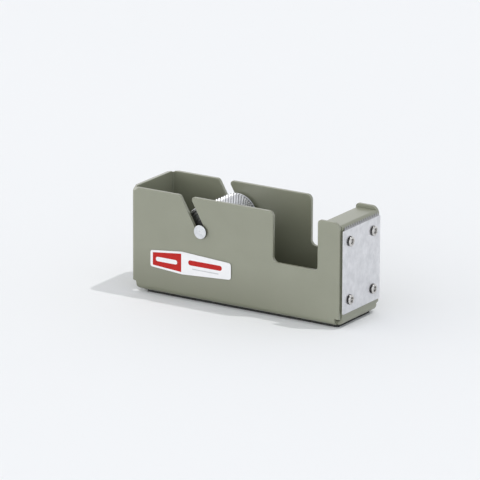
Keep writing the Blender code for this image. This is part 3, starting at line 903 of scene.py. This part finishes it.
def make_pad(rubber):
    """A flat pad with rounded corners under the base."""
    outline = rounded([
        (PAD_LOW.x, PAD_LOW.y, PAD_CORNER),
        (PAD_HIGH.x, PAD_LOW.y, PAD_CORNER),
        (PAD_HIGH.x, PAD_HIGH.y, PAD_CORNER),
        (PAD_LOW.x, PAD_HIGH.y, PAD_CORNER),
    ])
    pad = new_object("foot_pad", lambda bm: add_prism(bm, outline, "Z", PAD_LOW.z, PAD_HIGH.z))
    round_edges(pad, PAD_EDGE)
    finish_piece(pad, "body", rubber, "rubber", "base_pad")


def make_label(white, red, grey):
    """A blank two-colour sticker: a red panel with a pale bar, and a red bar over a grey rule."""
    back = LABEL_HIGH.y
    face = LABEL_LOW.y
    sticker = new_object("label_sticker",
                         lambda bm: add_prism(bm, body_outline(LABEL_CORNERS), "Y", face, back))
    round_edges(sticker, LABEL_EDGE, segments=2)
    finish_piece(sticker, "body", white, "label", "wall_label")

    def printed(name, corners, ink, layer=1):
        outer = face - layer * PRINT_THICKNESS
        inner = outer + PRINT_THICKNESS
        obj = new_object(name, lambda bm: add_prism(bm, body_outline(corners), "Y", outer, inner))
        finish_piece(obj, "body", ink, "label")

    def bar(left, right, low, high):
        end = (high - low) * BAR_END_ROUNDING
        return [(left, low, end), (right, low, end), (right, high, end), (left, high, end)]

    printed("label_red_panel", RED_CORNERS, red)
    printed("label_pale_bar", bar(*PALE_BAR), white, layer=2)
    printed("label_red_bar", bar(*RED_BAR), red)
    printed("label_grey_rule", bar(*GREY_RULE), grey)


# ---------------------------------------------------------------- hub and axle

def make_drum(aluminium):
    """The drum: a diamond knurl between two plain bands, with a bore right through."""
    axis_point = Vector((AXLE.x, 0.0, AXLE.z))
    outer = DRUM_HIGH.z - AXLE.z
    end = DRUM_HIGH.y
    bore = (PLATE_HIGH.z - PLATE_LOW.z) / 2 + GAP
    valley = outer - KNURL_DEPTH
    knurl_end = end - KNURL_BAND
    about = turning("Y")
    columns = 2 * KNURL_COUNT
    rows = 2 * KNURL_ROWS

    def point(column, row, radius):
        along = -knurl_end + 2 * knurl_end * row / rows
        return axis_point + about @ ring_spoke(math.tau * column / columns, radius, along)

    def build(bm):
        valleys = {}
        for row in range(rows + 1):
            for column in range(columns):
                if (column + row) % 2 == 0:
                    valleys[column, row] = bm.verts.new(point(column, row, valley))
        for row in range(1, rows):
            for column in range(columns):
                if (column + row) % 2 == 0:
                    continue
                foot = [valleys[(column + 1) % columns, row], valleys[column, row + 1],
                        valleys[(column - 1) % columns, row], valleys[column, row - 1]]
                steps = [(KNURL_FLAT, 0.0), (0.0, KNURL_FLAT),
                         (-KNURL_FLAT, 0.0), (0.0, -KNURL_FLAT)]
                top = [bm.verts.new(point(column + du, row + dv, outer)) for du, dv in steps]
                bm.faces.new(top)
                for index in range(4):
                    after = (index + 1) % 4
                    bm.faces.new([foot[index], foot[after], top[after], top[index]])
        rims = []
        for row, inward in ((0, 1), (rows, -1)):
            first = row % 2
            for column in range(first + 1, columns, 2):
                bm.faces.new([valleys[(column - 1) % columns, row],
                              valleys[(column + 1) % columns, row],
                              valleys[column, row + inward]])
            rims.append([valleys[column, row] for column in range(first, columns, 2)])
        loops = [rims[0]]
        profile = [
            (-knurl_end - KNURL_RUNOUT, outer),
            (-end + DRUM_CHAMFER, outer),
            (-end, outer - DRUM_CHAMFER),
            (-end, bore),
            (end, bore),
            (end, outer - DRUM_CHAMFER),
            (end - DRUM_CHAMFER, outer),
            (knurl_end + KNURL_RUNOUT, outer),
        ]
        for along, radius in profile:
            spokes = [ring_spoke(math.tau * index / KNURL_COUNT, radius, along)
                      for index in range(KNURL_COUNT)]
            loops.append([bm.verts.new(axis_point + about @ spoke) for spoke in spokes])
        loops.append(rims[1])
        for first_loop, second_loop in zip(loops, loops[1:]):
            bridge(bm, first_loop, second_loop)

    drum = new_object("knurled_drum", build)
    finish_piece(drum, "hub", aluminium, "hub_aluminium", "hub_drum")


def make_hub_ends(steel, plastic):
    """At each end: a recessed plate with a shallow step, and a flanged bush."""
    axis_point = Vector((AXLE.x, 0.0, AXLE.z))
    plate_radius = (PLATE_HIGH.z - PLATE_LOW.z) / 2
    plate_out = -PLATE_LOW.y
    plate_in = -PLATE_HIGH.y
    bush_out = -BUSH_LOW.y
    bush_in = -BUSH_HIGH.y
    flange_radius = (BUSH_HIGH.z - BUSH_LOW.z) / 2
    bore = (ROD_HIGH.z - ROD_LOW.z) / 2 + GAP
    flange_in = plate_out + GAP
    step_floor = plate_out - PLATE_STEP_DEPTH
    step_radius = plate_radius - PLATE_STEP_MARGIN
    for side_name, side in (("near", -1), ("far", 1)):
        plate = turned(f"end_plate_{side_name}", [
            (side * plate_in, BUSH_SLEEVE_RADIUS + GAP, 0.0),
            (side * plate_in, plate_radius, 0.1 * MM),
            (side * plate_out, plate_radius, 0.15 * MM),
            (side * plate_out, step_radius + 0.3 * MM, 0.12 * MM),
            (side * step_floor, step_radius, 0.12 * MM),
            (side * step_floor, flange_radius + 1.2 * MM, 0.12 * MM),
            (side * plate_out, flange_radius + 0.9 * MM, 0.12 * MM),
            (side * plate_out, BUSH_SLEEVE_RADIUS + GAP, 0.0),
        ], "Y", axis_point, ring=True)
        finish_piece(plate, "hub", steel, "plate_steel", f"hub_plate_{side_name}")
        bush = turned(f"flanged_bush_{side_name}", [
            (side * bush_in, bore, 0.1 * MM),
            (side * bush_in, BUSH_SLEEVE_RADIUS, 0.2 * MM),
            (side * flange_in, BUSH_SLEEVE_RADIUS, 0.0),
            (side * flange_in, flange_radius, 0.1 * MM),
            (side * bush_out, flange_radius, 0.25 * MM),
            (side * bush_out, bore, 0.2 * MM),
        ], "Y", axis_point, ring=True)
        finish_piece(bush, "hub", plastic, "bush_plastic", f"hub_bush_{side_name}")


def make_axle(steel):
    """A rod with a neck at each end, and a flat cap with a softly rounded rim on each neck."""
    axis_point = Vector((AXLE.x, 0.0, AXLE.z))
    rod_radius = (ROD_HIGH.z - ROD_LOW.z) / 2
    rod_end = ROD_HIGH.y
    rod = turned("axle_bar", [
        (-rod_end, 0.0, 0.0),
        (-rod_end, AXLE_NECK_RADIUS, 0.1 * MM),
        (-HALF_WIDTH, AXLE_NECK_RADIUS, 0.0),
        (-HALF_WIDTH, rod_radius, 0.2 * MM),
        (HALF_WIDTH, rod_radius, 0.2 * MM),
        (HALF_WIDTH, AXLE_NECK_RADIUS, 0.0),
        (rod_end, AXLE_NECK_RADIUS, 0.1 * MM),
        (rod_end, 0.0, 0.0),
    ], "Y", axis_point)
    finish_piece(rod, "axle", steel, "axle_steel", "axle_rod")

    cap_radius = (CAP_HIGH.z - CAP_LOW.z) / 2
    outer = -CAP_LOW.y
    inner = -CAP_HIGH.y
    floor = outer - CAP_FACE
    socket = AXLE_NECK_RADIUS + GAP
    for side_name, side in (("near", -1), ("far", 1)):
        cap = turned(f"end_cap_{side_name}", [
            (side * floor, 0.0, 0.0),
            (side * floor, socket, 0.0),
            (side * inner, socket, 0.0),
            (side * inner, cap_radius, 0.12 * MM),
            (side * outer, cap_radius, 0.22 * MM),
            (side * outer, 0.0, 0.0),
        ], "Y", axis_point)
        finish_piece(cap, "axle", steel, "axle_steel", f"axle_cap_{side_name}")


# ---------------------------------------------------------------- camera, floor and light

def make_camera():
    """A long lens from the front and the near side, a little above the object."""
    look = Vector((-math.sin(CAMERA_AZIMUTH) * math.cos(CAMERA_ELEVATION),
                   math.cos(CAMERA_AZIMUTH) * math.cos(CAMERA_ELEVATION),
                   -math.sin(CAMERA_ELEVATION)))
    turn = look.to_track_quat("-Z", "Y") @ Quaternion((0.0, 0.0, 1.0), CAMERA_ROLL)
    reference = Vector((BACK_X + BODY_LENGTH / 2, 0.0, BASE_Z + CAMERA_AIM_HEIGHT))
    aim = reference + turn @ CAMERA_AIM_SHIFT
    data = bpy.data.cameras.new("camera")
    data.lens = CAMERA_LENS
    data.sensor_width = 36.0
    data.clip_start = 0.1
    data.clip_end = 50.0
    camera = bpy.data.objects.new("camera", data)
    camera.rotation_mode = "QUATERNION"
    camera.rotation_quaternion = turn
    camera.location = aim - look * CAMERA_DISTANCE
    bpy.context.scene.collection.objects.link(camera)
    bpy.context.scene.camera = camera


def make_floor():
    """A wide, almost white floor, very slightly cloudy."""
    half = FLOOR_HALF
    square = [(-half, -half), (half, -half), (half, half), (-half, half)]
    floor = new_object("floor", lambda bm: add_prism(bm, square, "Z", -FLOOR_THICKNESS, 0.0))
    surface = Surface("floor_paper", Specular_IOR_Level=0.2, Roughness=0.9)
    surface.colour(surface.blend(surface.noise(0.4), *FLOOR_TINTS))
    floor.data.materials.append(surface.material)


def make_light():
    """A small key light from high over the blade's end, in a white room.

    The room is dim overhead, and stronger from the back and the near side.
    """
    data = bpy.data.lights.new("key", "SUN")
    data.energy = KEY_STRENGTH
    data.angle = KEY_ANGLE
    data.color = KEY_COLOUR
    key = bpy.data.objects.new("key", data)
    key.rotation_mode = "QUATERNION"
    key.rotation_quaternion = KEY_DIRECTION.normalized().to_track_quat("Z", "Y")
    bpy.context.scene.collection.objects.link(key)

    world = bpy.data.worlds.new("room")
    bpy.context.scene.world = world
    world.use_nodes = True
    background = world.node_tree.nodes["Background"]
    sky = Pattern(world.node_tree, "Generated")
    side = sky.spread(sky.part("X"), 0.0, 1.0, -1.0, 1.0)
    sky.link(sky.blend(side, *ROOM_TINTS), background.inputs["Color"])
    power = sky.spread(sky.part("Z"), ROOM_HORIZON, ROOM_OVERHEAD, 0.0, 1.0)
    for axis in "XY":
        tilt = sky.spread(sky.part(axis), ROOM_STRONG_SIDE, ROOM_WEAK_SIDE, -1.0, 1.0)
        power = sky.times(power, tilt)
    sky.link(power, background.inputs["Strength"])
    bpy.context.scene.view_settings.view_transform = "Standard"


# ---------------------------------------------------------------- everything

def main():
    """Makes the stage and the pieces."""
    make_camera()
    make_floor()
    make_light()
    make_body(paint_material())
    make_blade(blade_material())
    make_rivets(rivet_material())
    make_pad(rubber_material())
    make_label(print_material("label_white", LABEL_WHITE),
               print_material("label_red", LABEL_RED),
               print_material("label_grey", LABEL_GREY))
    make_drum(drum_material())
    make_hub_ends(plate_material(), plastic_material())
    make_axle(axle_material())


main()
